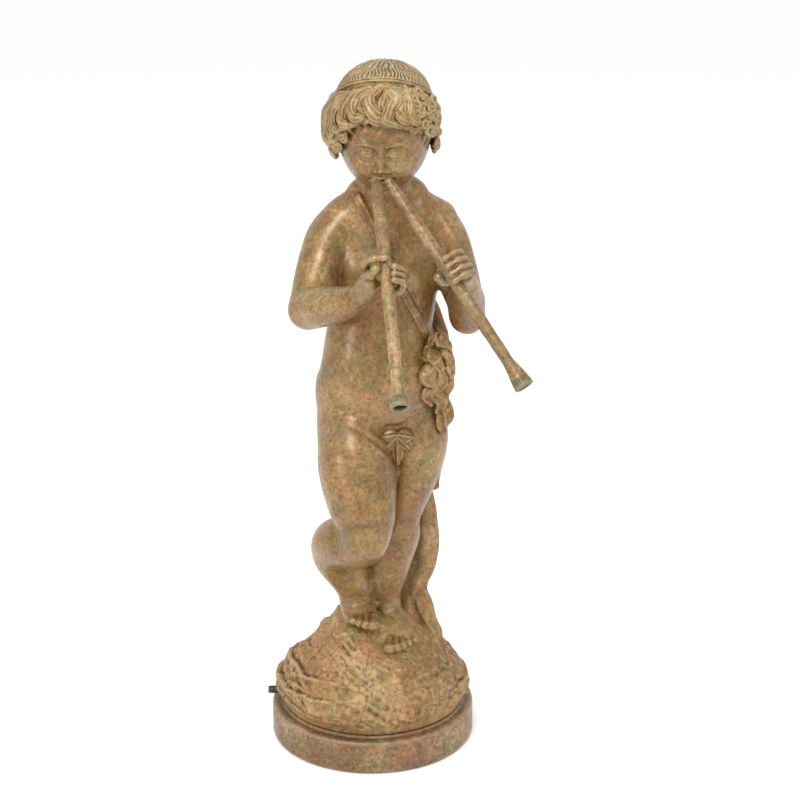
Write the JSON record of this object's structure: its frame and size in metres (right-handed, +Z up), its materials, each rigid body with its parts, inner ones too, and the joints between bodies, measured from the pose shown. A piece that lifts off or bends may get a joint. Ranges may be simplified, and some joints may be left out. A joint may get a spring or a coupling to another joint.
{
  "type": "fountain statue",
  "caption": "Cast bronze fountain figure of a small child blowing a double pipe, standing on a rock mound over a round plinth, with a supply stub at the side.",
  "frame": {"origin": "centre of the plinth's round underside", "axes": "+Z up along the figure, -Y out of the figure's front, +X to the figure's own left"},
  "size_m": [0.3632, 0.4793, 0.9966],
  "materials": {
    "patinated_bronze": "waxed golden tan bronze patina, mottled olive and russet, satin",
    "pipe_bronze": "waxed bronze patina, grey-green at the bells, satin",
    "fitting_metal": "dark weathered brass"
  },
  "bodies": {
    "root": {"figure": "patinated_bronze", "rock_mound": "patinated_bronze", "plinth": "patinated_bronze", "right_pipe": "pipe_bronze", "left_pipe": "pipe_bronze", "water_inlet": "fitting_metal"}
  },
  "joints": []
}
